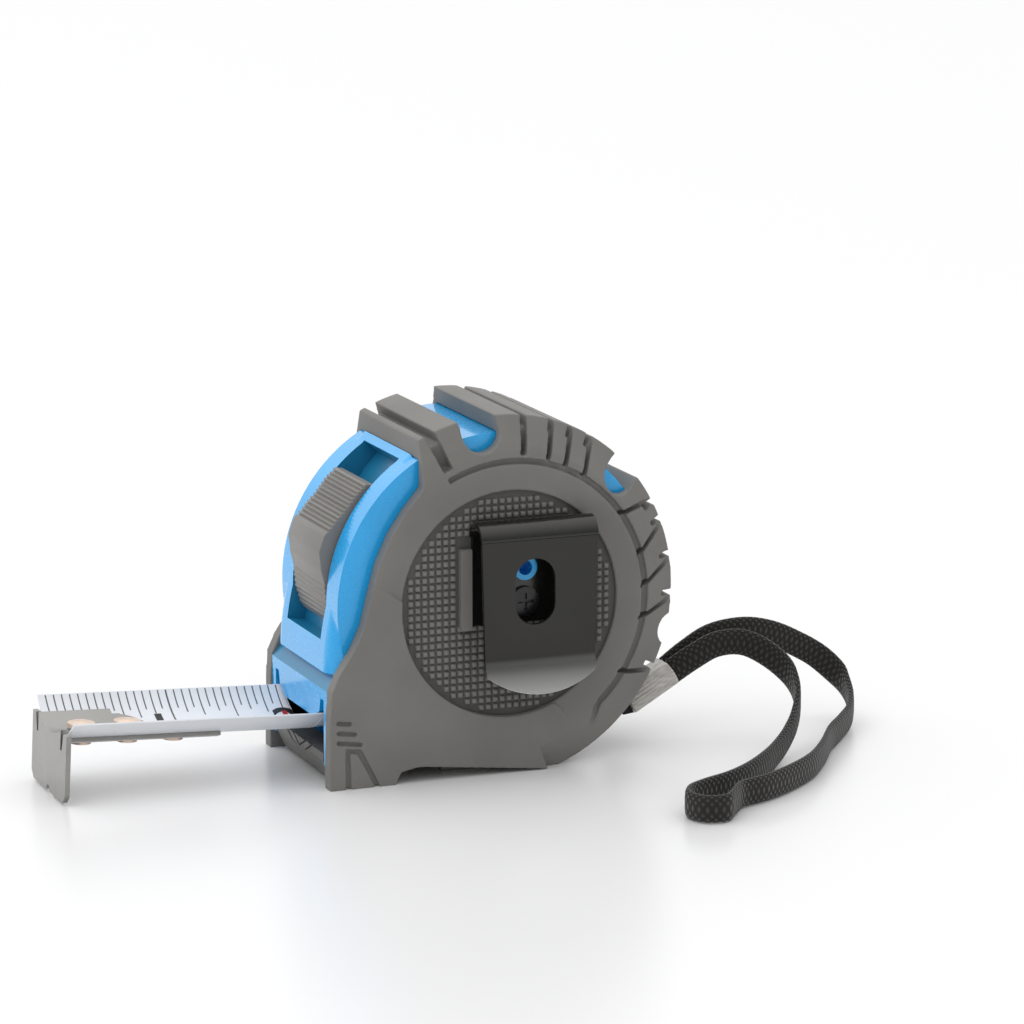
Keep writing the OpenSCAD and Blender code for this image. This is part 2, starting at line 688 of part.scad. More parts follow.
module hook_rivets() {
  top = -strip_sag + blade_t / 2 + tab_gap + hook_t + 0.45;
  color("#c9a98c") in_blade_frame() for (i = [0:2]) translate([rivet_x + rivet_gap * i, 0, 0]) {
    if (i < 2) {
      translate([0, 0, top]) cylinder(r = head_r, h = head_t);
      translate([0, 0, -strip_sag - blade_t / 2 - 1.1]) cylinder(r = rivet_r, h = top + strip_sag + blade_t / 2 + 1.1 + eps);
    } else {
      translate([0, 0, -strip_sag + 0.25]) cylinder(r = rivet_r + 0.4, h = 0.5);
      translate([0, 0, -strip_sag - 1.2]) cylinder(r = rivet_r, h = 1.5);
    }
    translate([0, 0, -strip_sag - blade_t / 2 - seat - plate_t - 0.55]) cylinder(r = rivet_r + 0.5, h = 0.5);
  }
}
module hook_backing_plate() {
  r0 = blade_r + blade_t / 2 + seat;
  color("#c9c6bf") in_blade_frame() difference() {
    along_x(-blade_out + 0.4, -blade_out + 0.4 + plate_l) trough(r0, r0 + plate_t, 24);
    for (i = [0:2]) translate([rivet_x + rivet_gap * i, 0, -strip_sag - 3]) cylinder(r = rivet_r + seat, h = 6);
  }
}

// thumb lock
module lock_button() {
  c = [front_x, front_z];
  r = front_r;
  color("#8f8b88") between(-button_w / 2, button_w / 2) difference() {
    polygon([
      turn_2d(c, track_r - 3, 144.2), turn_2d(c, r + 0.6, 143), turn_2d(c, r + 2, 143.8),
      turn_2d(c, r + 2.6, 146), turn_2d(c, r + 2.9, 149), turn_2d(c, r + 3.7, 152), turn_2d(c, r + 4.4, 155),
      turn_2d(c, r + 4.2, 157.6), turn_2d(c, r + 2.9, 160), turn_2d(c, r + 1.3, 162.5),
      turn_2d(c, r + 0.2, 165.5), turn_2d(c, r - 1.4, 168.6), turn_2d(c, r - 2.6, 170),
      turn_2d(c, track_r - 3, 170)
    ]);
    // hollow underneath, like the floor of its track
    translate(c) circle(r = track_r + slip, $fn = 180);
  }
}
module lock_slider() {
  r1 = track_r - 1.4 - slip;
  color("#2f86b8") {
    between(-stem_half, stem_half) front_ring(r1 - 0.2, track_r + slip - seat, stem_from, stem_to);
    between(-7, 7) front_ring(r1 - slider_t, r1, 147, 176);
  }
}
module brake_pad() {
  r1 = track_r - 1.4 - slip;
  color("#3b3b3b") between(-5, 5) difference() {
    front_ring(r1 - slider_t - 1.4, r1 - 0.2, 176.05, 190);
    translate([-60, -1]) square([60, blade_z - strip_sag + 3.88]);
  }
}

// grey block under the mouth that the hook lands on
module nose_bumper() {
  color("#7d7b78") difference() {
    between(-mouth_half + 0.1, mouth_half - 0.1) polygon([
      [-nose_x - 0.1, mouth_low - 0.1], [-nose_x - 0.1, 4.6], [-nose_x + 1.8, 0.6], [-nose_x + 4.9, 0.6],
      [-nose_x + 4.9, mouth_low - 0.1]
    ]);
    // V-shaped grooves
    for (m = [-1, 1], i = [0:1]) translate([-nose_x - 0.1, 0, 2.6 + 1.8 * i]) rotate([m * 26, 0, 0])
      translate([-0.4, m < 0 ? -9 : 0, -0.2]) cube([0.8, 9, 0.4]);
  }
}

// wrist strap
module strap_pin() {
  color("#8a8d90") bar_y(pin_at.x, pin_at.y, pin_r, strap_y - 5.5, strap_y + 5.5);
}
module strap_loop() {
  color("#2a2826") difference() {
    between(strap_y - 2.8, strap_y + 2.8) union() {
      translate(pin_at) circle(r = pin_r + 1.3, $fn = 48);
      polygon([
        [pin_at.x - 0.4, pin_at.y - pin_r - 1.3], sleeve_from + [-1.2, -2],
        sleeve_from + 2 * [sin(sleeve_a), -cos(sleeve_a)] + [-0.03, 0],
        sleeve_from + 2 * [-sin(sleeve_a), cos(sleeve_a)] + [-0.03, 0],
        [pin_at.x + 1.6, pin_at.y + 1.9]
      ]);
    }
    bar_y(pin_at.x, pin_at.y, pin_r + seat, strap_y - 9, strap_y + 9);
  }
}
module strap_sleeve() {
  color("#aca8a1") translate([sleeve_from.x, strap_y, sleeve_from.y]) rotate([0, -sleeve_a, 0])
    along_x(0, sleeve_l) union() {
      square([sleeve_w - sleeve_h, sleeve_h], center = true);
      for (m = [-1, 1]) translate([m * (sleeve_w - sleeve_h) / 2, 0]) circle(r = sleeve_h / 2, $fn = 48);
    }
}
// the band stands on edge all along its route, so its width follows the vertical
band_sides = 8;
rings = [for (i = [0:len(route) - 2], t = [0, 0.5]) spline_at(route, i, t), route[len(route) - 1]];
function band_ring(i) =
  let (
    n = len(rings),
    t = unit(rings[min(i + 1, n - 1)] - rings[max(i - 1, 0)]),
    up = unit([0, 0, 1] - t.z * t),
    out = cross(t, up)
  )
  [for (k = [0:band_sides - 1]) let (a = 22.5 + 45 * k)
    rings[i] + up * band_w / 2 * sin(a) / sin(67.5) + out * band_t / 2 * cos(a) / cos(22.5)];
module wrist_strap() {
  n = len(rings);
  m = band_sides;
  color("#2b2826") polyhedron(
    points = [for (i = [0:n - 1]) each band_ring(i)],
    faces = concat(
      [[for (k = [m - 1:-1:0]) k]],
      [for (i = [0:n - 2], k = [0:m - 1]) each [
        [i * m + k, i * m + (k + 1) % m, (i + 1) * m + (k + 1) % m],
        [i * m + k, (i + 1) * m + (k + 1) % m, (i + 1) * m + k]
      ]],
      [[for (k = [0:m - 1]) (n - 1) * m + k]]
    )
  );
}

case_left();
case_right();
rubber_jacket();
grip_disc_left();
grip_disc_right();
clip_pad();
clip_base();
clip_leaf();
clip_screw();
case_screws();
spindle_post();
reel_drum();
reel_cover();
blade_coil();
power_spring();
blade_strip();
blade_lead();
hook_backing_plate();
hook_rivets();
end_hook();
lock_button();
lock_slider();
brake_pad();
nose_bumper();
strap_pin();
strap_loop();
strap_sleeve();
wrist_strap();
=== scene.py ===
import bpy
import bmesh
import math
from mathutils import Matrix, Vector


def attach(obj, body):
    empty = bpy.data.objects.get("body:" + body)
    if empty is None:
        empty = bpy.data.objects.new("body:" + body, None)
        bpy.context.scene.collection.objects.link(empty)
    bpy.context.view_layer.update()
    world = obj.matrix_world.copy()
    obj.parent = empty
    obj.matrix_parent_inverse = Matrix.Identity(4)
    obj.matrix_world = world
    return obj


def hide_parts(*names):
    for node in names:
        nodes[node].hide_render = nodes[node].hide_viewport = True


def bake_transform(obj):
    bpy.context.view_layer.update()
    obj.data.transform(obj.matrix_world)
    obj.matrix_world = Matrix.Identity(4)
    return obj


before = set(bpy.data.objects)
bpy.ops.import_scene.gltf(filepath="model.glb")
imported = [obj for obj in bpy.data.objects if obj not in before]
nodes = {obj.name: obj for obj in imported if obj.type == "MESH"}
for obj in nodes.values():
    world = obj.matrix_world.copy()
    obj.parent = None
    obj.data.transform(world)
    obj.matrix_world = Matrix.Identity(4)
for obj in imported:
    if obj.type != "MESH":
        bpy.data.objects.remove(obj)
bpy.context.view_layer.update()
mm = 0.001
scene = bpy.context.scene
print("frame loaded:", len(nodes), "nodes")


# small helpers used by every piece
def linkMesh(name, bm, smooth=True):
    mesh = bpy.data.meshes.new(name)
    bm.to_mesh(mesh)
    bm.free()
    obj = bpy.data.objects.new(name, mesh)
    scene.collection.objects.link(obj)
    for poly in mesh.polygons:
        poly.use_smooth = smooth
    return obj


def place(obj, body, slot, *standsFor):
    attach(obj, body)
    if standsFor:
        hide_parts(*standsFor)
    return obj


def setMaterial(obj, material):
    obj.data.materials.clear()
    obj.data.materials.append(material)


def applyModifiers(obj):
    depsgraph = bpy.context.evaluated_depsgraph_get()
    mesh = bpy.data.meshes.new_from_object(obj.evaluated_get(depsgraph))
    obj.modifiers.clear()
    old = obj.data
    obj.data = mesh
    bpy.data.meshes.remove(old)


def copyNode(nodeName, pieceName):
    # a merged copy of a CAD node, with its flat faces joined up
    bm = bmesh.new()
    bm.from_mesh(nodes[nodeName].data)
    bmesh.ops.remove_doubles(bm, verts=bm.verts, dist=2e-6)
    bmesh.ops.dissolve_degenerate(bm, edges=bm.edges, dist=1e-6)
    return linkMesh(pieceName, bm, False)


def creasedCopy(nodeName, pieceName, width=0.25, segments=2, limit=32):
    obj = copyNode(nodeName, pieceName)
    bm = bmesh.new()
    bm.from_mesh(obj.data)
    bmesh.ops.dissolve_limit(bm, angle_limit=math.radians(0.6), verts=bm.verts, edges=bm.edges)
    bm.to_mesh(obj.data)
    bm.free()
    bevel = obj.modifiers.new("roundedEdges", "BEVEL")
    bevel.width = width * mm
    bevel.segments = segments
    bevel.limit_method = "ANGLE"
    bevel.angle_limit = math.radians(limit)
    bevel.use_clamp_overlap = True
    applyModifiers(obj)
    shadeByAngle(obj, 30)
    even = obj.modifiers.new("evenShading", "WEIGHTED_NORMAL")
    even.keep_sharp = True
    applyModifiers(obj)
    return obj


def mouldedCopy(nodeName, pieceName, voxel, smoothing, triangles):
    # a soft-edged copy: remeshed, smoothed and thinned
    obj = copyNode(nodeName, pieceName)
    remesh = obj.modifiers.new("grain", "REMESH")
    remesh.mode = "VOXEL"
    remesh.voxel_size = voxel * mm
    applyModifiers(obj)
    ease = obj.modifiers.new("softEdges", "SMOOTH")
    ease.factor = 0.5
    ease.iterations = smoothing
    applyModifiers(obj)
    count = sum(len(p.vertices) - 2 for p in obj.data.polygons)
    if count > triangles:
        thin = obj.modifiers.new("thin", "DECIMATE")
        thin.ratio = triangles / count
        applyModifiers(obj)
    for poly in obj.data.polygons:
        poly.use_smooth = True
    print(pieceName, "faces", len(obj.data.polygons))
    return obj


def shadeByAngle(obj, degrees):
    mesh = obj.data
    for poly in mesh.polygons:
        poly.use_smooth = True
    bm = bmesh.new()
    bm.from_mesh(mesh)
    limit = math.radians(degrees)
    for edge in bm.edges:
        edge.smooth = not (len(edge.link_faces) == 2 and edge.calc_face_angle(0) > limit)
    bm.to_mesh(mesh)
    bm.free()


def outline(bm, points, plane="xz", at=0.0):
    # one face from flat points in millimetres
    verts = []
    for u, v in points:
        co = (u, at, v) if plane == "xz" else ((at, u, v) if plane == "yz" else (u, v, at))
        verts.append(bm.verts.new([c * mm for c in co]))
    return bm.faces.new(verts)


def extrudeFace(bm, face, offset):
    made = bmesh.ops.extrude_face_region(bm, geom=[face])
    verts = [g for g in made["geom"] if isinstance(g, bmesh.types.BMVert)]
    bmesh.ops.translate(bm, verts=verts, vec=Vector(offset) * mm)
    bmesh.ops.recalc_face_normals(bm, faces=bm.faces)


def polar(cx, cz, r, degrees):
    a = math.radians(degrees)
    return (cx + r * math.cos(a), cz + r * math.sin(a))


# materials: each look is one entry of the looks dictionary
def newMaterial(name):
    material = bpy.data.materials.new(name)
    material.use_nodes = True
    tree = material.node_tree
    shader = tree.nodes["Principled BSDF"]
    return material, tree, shader


def noiseMap(tree, coords, scale, detail, stretch=(1, 1, 1)):
    source = tree.nodes.new("ShaderNodeTexCoord")
    mapping = tree.nodes.new("ShaderNodeMapping")
    mapping.inputs["Scale"].default_value = stretch
    noise = tree.nodes.new("ShaderNodeTexNoise")
    noise.inputs["Scale"].default_value = scale
    noise.inputs["Detail"].default_value = detail
    tree.links.new(source.outputs[coords], mapping.inputs["Vector"])
    tree.links.new(mapping.outputs["Vector"], noise.inputs["Vector"])
    return noise


def rampTo(tree, factor, socket, low, high, start=0.3, end=0.7):
    ramp = tree.nodes.new("ShaderNodeValToRGB")
    ramp.color_ramp.elements[0].position = start
    ramp.color_ramp.elements[1].position = end
    ramp.color_ramp.elements[0].color = (*low, 1) if len(low) == 3 else (low[0],) * 3 + (1,)
    ramp.color_ramp.elements[1].color = (*high, 1) if len(high) == 3 else (high[0],) * 3 + (1,)
    tree.links.new(factor, ramp.inputs["Fac"])
    tree.links.new(ramp.outputs["Color"], socket)


def bumpFrom(tree, height, shader, strength, distance):
    bump = tree.nodes.new("ShaderNodeBump")
    bump.inputs["Strength"].default_value = strength
    bump.inputs["Distance"].default_value = distance * mm
    tree.links.new(height, bump.inputs["Height"])
    tree.links.new(bump.outputs["Normal"], shader.inputs["Normal"])


def mouldedMaterial(name, look):
    # plastics, rubbers and paints: a colour that drifts a little, a fine grain and a sheen
    material, tree, shader = newMaterial(name)
    base = look["color"]
    drift = look.get("drift", 0.06)
    coarse = noiseMap(tree, "Object", look.get("driftScale", 90), 3)
    rampTo(tree, coarse.outputs["Fac"], shader.inputs["Base Color"],
           [c * (1 - drift) for c in base], [min(1, c * (1 + drift)) for c in base])
    rough = look["rough"]
    fine = noiseMap(tree, "Object", look.get("grainScale", 3000), 3, look.get("stretch", (1, 1, 1)))
    spread = look.get("roughSpread", 0.06)
    rampTo(tree, fine.outputs["Fac"], shader.inputs["Roughness"], [rough - spread], [rough + spread])
    if look.get("grain", 0) > 0:
        bumpFrom(tree, fine.outputs["Fac"], shader, look["grain"], look.get("grainDepth", 0.05))
    shader.inputs["Metallic"].default_value = look.get("metal", 0)
    shader.inputs["Coat Weight"].default_value = look.get("coat", 0)
    shader.inputs["Coat Roughness"].default_value = look.get("coatRough", 0.1)
    shader.inputs["Sheen Weight"].default_value = look.get("sheen", 0)
    shader.inputs["Specular IOR Level"].default_value = look.get("specular", 0.5)
    return material


looks = {
    "jacketRubber": {"color": (0.205, 0.199, 0.187), "rough": 0.6, "grain": 0.4, "grainScale": 3800,
                     "grainDepth": 0.08, "sheen": 0.05, "drift": 0.09, "driftScale": 60, "specular": 0.4},
    # painted shade: the rubber between the studs is a darker copy of the disc rubber, where shade falls in the
    # gaps
    "discGroovePaintedShade": {"color": (0.115, 0.112, 0.105), "rough": 0.7, "specular": 0.2},
    "discRubber": {"color": (0.205, 0.199, 0.187), "rough": 0.55, "grain": 0.2, "grainScale": 5200,
                   "specular": 0.35},
    "bluePlastic": {"color": (0.008, 0.44, 0.95), "rough": 0.24, "metal": 0.1, "coat": 0.6, "coatRough": 0.07,
                    "grain": 0.02, "grainScale": 1500, "grainDepth": 0.02, "drift": 0.04},
    # darker teal blue for the thumb track and its slider: a teal tint plus painted shade of the recess
    "tealWithPaintedShade": {"color": (0.010, 0.22, 0.42), "rough": 0.35, "coat": 0.3, "drift": 0.03},
    "buttonPlastic": {"color": (0.22, 0.21, 0.197), "rough": 0.42, "grain": 0.15, "grainScale": 4200,
                      "drift": 0.04},
    "bladeCoat": {"color": (0.86, 0.88, 0.92), "rough": 0.34, "coat": 0.35, "coatRough": 0.2, "drift": 0.02,
                  "grain": 0.05, "grainScale": 2500},
    "hookSteel": {"color": (0.34, 0.333, 0.32), "rough": 0.33, "metal": 1.0, "grain": 0.12,
                  "grainScale": 900, "stretch": (1, 6, 0.5), "drift": 0.05},
    "rivetCopper": {"color": (0.80, 0.62, 0.50), "rough": 0.33, "metal": 0.75, "drift": 0.08,
                    "driftScale": 500},
    "plainSteel": {"color": (0.5, 0.5, 0.5), "rough": 0.3, "metal": 1.0, "grain": 0.1},
    "clipSteel": {"color": (0.055, 0.054, 0.052), "rough": 0.22, "metal": 0.85, "coat": 0.25,
                  "coatRough": 0.15, "grain": 0.04, "grainScale": 2500, "drift": 0.04},
    "screwBlack": {"color": (0.04, 0.04, 0.04), "rough": 0.25, "metal": 0.8, "coat": 0.2},
    "reelPlastic": {"color": (0.02, 0.022, 0.025), "rough": 0.45},
    "padRubber": {"color": (0.02, 0.02, 0.02), "rough": 0.7, "grain": 0.2},
    "printGrey": {"color": (0.10, 0.10, 0.105), "rough": 0.45, "drift": 0.02},
    "printBlack": {"color": (0.012, 0.012, 0.014), "rough": 0.45, "drift": 0.02},
    "printRed": {"color": (0.55, 0.02, 0.02), "rough": 0.45, "drift": 0.02},
    "bumperPlastic": {"color": (0.15, 0.145, 0.135), "rough": 0.5, "grain": 0.15},
}
materials = {name: mouldedMaterial(name, look) for name, look in looks.items()}


def wovenMaterial(name, look):
    # a woven band: ribs across and along its own map, in metres
    material, tree, shader = newMaterial(name)
    source = tree.nodes.new("ShaderNodeTexCoord")
    mapping = tree.nodes.new("ShaderNodeMapping")
    mapping.inputs["Rotation"].default_value = (0, 0, math.radians(look["lean"]))
    tree.links.new(source.outputs["UV"], mapping.inputs["Vector"])
    waves = []
    for direction in ("X", "Y"):
        wave = tree.nodes.new("ShaderNodeTexWave")
        wave.wave_type = "BANDS"
        wave.bands_direction = direction
        wave.inputs["Scale"].default_value = look["threads"]
        wave.inputs["Distortion"].default_value = look["loose"]
        wave.inputs["Detail Scale"].default_value = 2.0
        tree.links.new(mapping.outputs["Vector"], wave.inputs["Vector"])
        waves.append(wave)
    weave = tree.nodes.new("ShaderNodeMath")
    weave.operation = "MULTIPLY"
    tree.links.new(waves[0].outputs["Fac"], weave.inputs[0])
    tree.links.new(waves[1].outputs["Fac"], weave.inputs[1])
    rampTo(tree, weave.outputs["Value"], shader.inputs["Base Color"], look["dark"], look["light"], 0.05, 0.9)
    bumpFrom(tree, weave.outputs["Value"], shader, look["bump"], look["bumpDepth"])
    shader.inputs["Roughness"].default_value = look["rough"]
    shader.inputs["Sheen Weight"].default_value = look["sheen"]
    shader.inputs["Sheen Roughness"].default_value = look["sheenRough"]
    return material


materials["wovenBand"] = wovenMaterial("wovenBand", {
    "threads": 330.0, "loose": 0.5, "lean": 45, "dark": (0.010, 0.009, 0.008), "light": (0.060, 0.054, 0.048),
    "bump": 0.9, "bumpDepth": 0.25, "rough": 0.85, "sheen": 0.25, "sheenRough": 0.4})


def sleeveMaterial(name, look):
    # milky plastic with streaks along the tube
    material, tree, shader = newMaterial(name)
    streak = noiseMap(tree, "Object", look["streaks"], 3, look["stretch"])
    rampTo(tree, streak.outputs["Fac"], shader.inputs["Base Color"], look["dark"], look["light"])
    bumpFrom(tree, streak.outputs["Fac"], shader, look["bump"], look["bumpDepth"])
    shader.inputs["Roughness"].default_value = look["rough"]
    shader.inputs["Transmission Weight"].default_value = look["clear"]
    shader.inputs["IOR"].default_value = look["ior"]
    shader.inputs["Coat Weight"].default_value = look["coat"]
    return material


materials["milkySleeve"] = sleeveMaterial("milkySleeve", {
    "dark": (0.58, 0.56, 0.52), "light": (0.86, 0.84, 0.80), "streaks": 700, "stretch": (0.2, 2, 2),
    "bump": 0.3, "bumpDepth": 0.15, "rough": 0.3, "clear": 0.12, "ior": 1.4, "coat": 0.3})
print("materials made:", len(materials))


camera = {"place": (-0.3129, -0.8052, 0.2301), "yaw": 21.71, "pitch": -11.96, "lens": 161.46,
          "sensor": 36, "nearest": 0.05, "farthest": 50}


def makeCamera():
    data = bpy.data.cameras.new("camera")
    obj = bpy.data.objects.new("camera", data)
    scene.collection.objects.link(obj)
    obj.location = camera["place"]
    obj.rotation_euler = (math.radians(90 + camera["pitch"]), 0, -math.radians(camera["yaw"]))
    data.lens = camera["lens"]
    data.sensor_width = camera["sensor"]
    data.clip_start = camera["nearest"]
    data.clip_end = camera["farthest"]
    scene.camera = obj


makeCamera()


# wrist strap and its milky sleeve; route points are in millimetres
strap = {
    "width": 5.2, "thick": 1.3, "sides": 12, "stepsPerPoint": 6,
    "exit": (0.0392, -0.0054, 0.0132),
    "route": [
        (39.2, -5.4, 13.2), (43.5, -5.8, 15.8), (48.5, -6, 18), (54, -6.6, 18), (58.5, -9, 15.6),
        (61, -13, 12.4), (60.5, -18, 9), (57.5, -23, 5.8), (53, -28.5, 3.6), (48, -34.5, 2.8),
        (43, -40.5, 2.8), (37, -46.5, 2.8), (31, -51, 2.8), (25, -54, 2.8), (20.5, -57, 2.8),
        (18.5, -61, 2.8), (20, -65, 2.8), (24, -65.5, 2.8), (27, -62, 2.8), (30.5, -58, 2.8),
        (36.5, -55.5, 2.8), (43.5, -51, 2.8), (51, -44.5, 2.8), (57.5, -36, 2.8), (63, -27.5, 2.8),
        (69, -20, 2.8), (74, -13.5, 3.2), (77, -7.5, 4.8), (77.5, -2, 7.6), (74, 0.8, 11.6),
        (68.5, 0.8, 15), (62.5, -0.2, 17.8), (56, -1.2, 19.2), (49, -1.8, 18.6), (43.5, -2.3, 16),
        (39.2, -2.6, 13.2)],
    "edgeFullness": 0.7, "faceFullness": 0.55, "mapWidth": 12,
}


def splinePoints(route, steps):
    points = [Vector(p) * mm for p in route]
    made = []
    last = len(points) - 1
    for i in range(last):
        a, b = points[max(i - 1, 0)], points[i]
        c, d = points[i + 1], points[min(i + 2, last)]
        for k in range(steps):
            t = k / steps
            made.append(0.5 * (2 * b + (c - a) * t + (2 * a - 5 * b + 4 * c - d) * t * t
                               + (3 * b - a - 3 * c + d) * t ** 3))
    made.append(points[-1])
    return made


def makeStrap():
    path = splinePoints(strap["route"], strap["stepsPerPoint"])
    bm = bmesh.new()
    uv = bm.loops.layers.uv.new("band")
    sides = strap["sides"]
    rings, runs, run = [], [], 0.0
    for i, point in enumerate(path):
        if i:
            run += (point - path[i - 1]).length
        runs.append(run)
        ahead, behind = path[min(i + 1, len(path) - 1)], path[max(i - 1, 0)]
        tangent = (ahead - behind).normalized()
        up = (Vector((0, 0, 1)) - tangent.z * tangent).normalized()
        out = tangent.cross(up)
        ring = []
        for k in range(sides):
            a = 2 * math.pi * (k + 0.5) / sides
            c, s = math.cos(a), math.sin(a)
            # a flat band with full edges
            wide = math.copysign(abs(s) ** strap["edgeFullness"], s) * strap["width"] / 2 * mm
            thick = math.copysign(abs(c) ** strap["faceFullness"], c) * strap["thick"] / 2 * mm
            ring.append(bm.verts.new(point + up * wide + out * thick))
        rings.append(ring)
    for i in range(len(rings) - 1):
        for k in range(sides):
            face = bm.faces.new([rings[i][k], rings[i][(k + 1) % sides],
                                 rings[i + 1][(k + 1) % sides], rings[i + 1][k]])
            around = [k, k + 1, k + 1, k]
            along = [i, i, i + 1, i + 1]
            for loop, u, v in zip(face.loops, around, along):
                loop[uv].uv = (u / sides * strap["mapWidth"] * mm, runs[v])
    bm.faces.new(list(reversed(rings[0])))
    bm.faces.new(rings[-1])
    bmesh.ops.recalc_face_normals(bm, faces=bm.faces)
    obj = linkMesh("wristStrapBand", bm)
    setMaterial(obj, materials["wovenBand"])
    place(obj, "case", "woven_band", "wrist_strap")


sleeve = {"from": (29.6, 7.8), "y": -4.0, "lean": 30.0, "length": 11.0, "wide": 8.4, "high": 5.2,
          "ribs": 22, "ribDepth": 0.28, "stepsPerRib": 4, "endRound": 0.18, "inset": 0.2}


def makeSleeve():
    # a ribbed milky tube round both strands
    bm = bmesh.new()
    steps = sleeve["ribs"] * sleeve["stepsPerRib"]
    straight = (sleeve["wide"] - sleeve["high"]) / 2
    r = sleeve["high"] / 2
    ring = []
    for k in range(steps):
        a = 2 * math.pi * k / steps
        rib = r - sleeve["ribDepth"] * (0.5 + 0.5 * math.cos(a * sleeve["ribs"]))
        y = math.copysign(straight, math.cos(a)) * min(1, abs(math.cos(a)) * 3) + rib * math.cos(a)
        ring.append((y, rib * math.sin(a)))
    face = outline(bm, ring, "yz", sleeve["inset"])
    extrudeFace(bm, face, (sleeve["length"] - 2 * sleeve["inset"], 0, 0))
    rims = [e for e in bm.edges if abs(e.verts[0].co.x - e.verts[1].co.x) < 1e-6]
    bmesh.ops.bevel(bm, geom=rims, offset=sleeve["endRound"] * mm, affect="EDGES", segments=2, profile=0.5,
                    material=-1)
    turn = (Matrix.Translation(Vector((sleeve["from"][0], sleeve["y"], sleeve["from"][1])) * mm)
            @ Matrix.Rotation(-math.radians(sleeve["lean"]), 4, "Y"))
    bmesh.ops.transform(bm, matrix=turn, verts=bm.verts)
    obj = linkMesh("strapSleeveRibbed", bm)
    shadeByAngle(obj, 50)
    setMaterial(obj, materials["milkySleeve"])
    return place(obj, "case", "clear_sleeve", "strap_sleeve")


sleevePiece = makeSleeve()
makeStrap()
setMaterial(nodes["strap_loop"], materials["wovenBand"])
print("strap made")


# rubber jacket and grip discs
jacket = {"voxel": 0.25, "smoothing": 2, "triangles": 185000}


def makeJacket():
    obj = mouldedCopy("rubber_jacket", "rubberJacketMoulded", jacket["voxel"], jacket["smoothing"],
                      jacket["triangles"])
    setMaterial(obj, materials["jacketRubber"])
    place(obj, "case", "jacket_rubber", "rubber_jacket")


makeJacket()

disc = {"centre": (0, 33.0), "radius": 21.8, "face": 17.6, "pitch": 1.42, "bump": 1.24, "height": 0.55,
        "border": 0.9, "underClip": (-10.6, 15.5, 29.0, 47.0), "topShare": 0.62, "sunk": 0.15,
        "studRound": 0.09}


def makeBumps(side):
    # square studs in rows, each a small tapered block
    bm = bmesh.new()
    reach = disc["radius"] - disc["border"]
    count = int(reach / disc["pitch"]) + 1
    cx, cz = disc["centre"]
    x0, x1, z0, z1 = disc["underClip"]
    for i in range(-count, count + 1):
        for j in range(-count, count + 1):
            u, v = i * disc["pitch"], j * disc["pitch"]
            if math.hypot(u, v) > reach:
                continue
            x, z = cx + u, cz + v
            if side < 0 and x0 < x < x1 and z0 < z < z1:
                continue
            made = bmesh.ops.create_cube(bm, size=1.0)["verts"]
            for vert in made:
                top = vert.co.y * side > 0
                share = disc["bump"] * (disc["topShare"] if top else 1.0)
                vert.co = Vector((x + vert.co.x * share,
                                  side * (disc["face"] + (disc["height"] if top else -disc["sunk"])),
                                  z + vert.co.z * share)) * mm
    bmesh.ops.bevel(bm, geom=bm.edges[:], offset=disc["studRound"] * mm, affect="EDGES", segments=1,
                    profile=0.5, material=-1)
    name = "gripStudsLeft" if side < 0 else "gripStudsRight"
    obj = linkMesh(name, bm)
    setMaterial(obj, materials["discRubber"])
    place(obj, "case", "disc_rubber")
    print(name, "faces", len(obj.data.polygons))


makeBumps(-1)
makeBumps(1)
# the disc faces between the studs get the darker rubber, painted shade in the gaps
for name in ("grip_disc_left", "grip_disc_right"):
    setMaterial(nodes[name], materials["discGroovePaintedShade"])
setMaterial(nodes["clip_pad"], materials["discRubber"])
print("rubber made")


# blue shells; faces in the thumb track get a darker teal blue, partly the teal tint of the track plastic and
# partly painted shade in the recess
shells = {"round": 0.3, "trackCentre": (24.5, 19.5), "trackFrom": 55.5, "trackTo": 59.3, "trackHalf": 9.8}


def makeShells():
    cx, cz = shells["trackCentre"]
    for side in ("left", "right"):
        obj = creasedCopy("case_" + side, "blueShell" + side.capitalize(), shells["round"], 3)
        setMaterial(obj, materials["bluePlastic"])
        obj.data.materials.append(materials["tealWithPaintedShade"])
        for poly in obj.data.polygons:
            x, y, z = (c / mm for c in poly.center)
            reach = math.hypot(x - cx, z - cz)
            # track faces take the darker teal blue, partly painted shade in the recess
            if x < -10 and abs(y) < shells["trackHalf"] and shells["trackFrom"] < reach < shells["trackTo"]:
                poly.material_index = 1
        place(obj, "case", "blue_shell", "case_" + side)


makeShells()
print("shells made")


# thumb button, on the circle of the track
button = {"centre": (24.5, 19.5), "radius": 60.0, "half": 8.9, "floor": 56.7, "from": 143.0, "to": 170.0,
          "topCut": 0.9, "ribs": 13, "ribDepth": 0.42, "ribFrom": 144.0, "ribSpan": 10.2,
          "tailRibs": 7, "tailDepth": 0.22, "tailFrom": 162.5, "tailSpan": 6.5, "steps": 230, "rimRound": 0.35,
          "knots": [(143.0, 0.6), (143.8, 2.0), (146.0, 2.6), (149.0, 2.9), (152.0, 3.7), (155.0, 4.4),
                    (157.6, 4.2), (160.0, 2.9), (162.5, 1.3), (165.5, 0.2), (168.6, -1.4), (170.0, -2.6)]}


def ribDip(a, start, span, ribs, depth):
    # a wave of ribs between two angles, none outside them
    if start < a < start + span:
        return depth * (0.5 - 0.5 * math.cos(2 * math.pi * (a - start) / span * ribs))
    return 0.0


def buttonRise(a):
    knots = button["knots"]
    for (a0, r0), (a1, r1) in zip(knots, knots[1:]):
        if a <= a1:
            t = (a - a0) / (a1 - a0)
            t = t * t * (3 - 2 * t) * 0.35 + t * 0.65
            return r0 + (r1 - r0) * t
    return knots[-1][1]


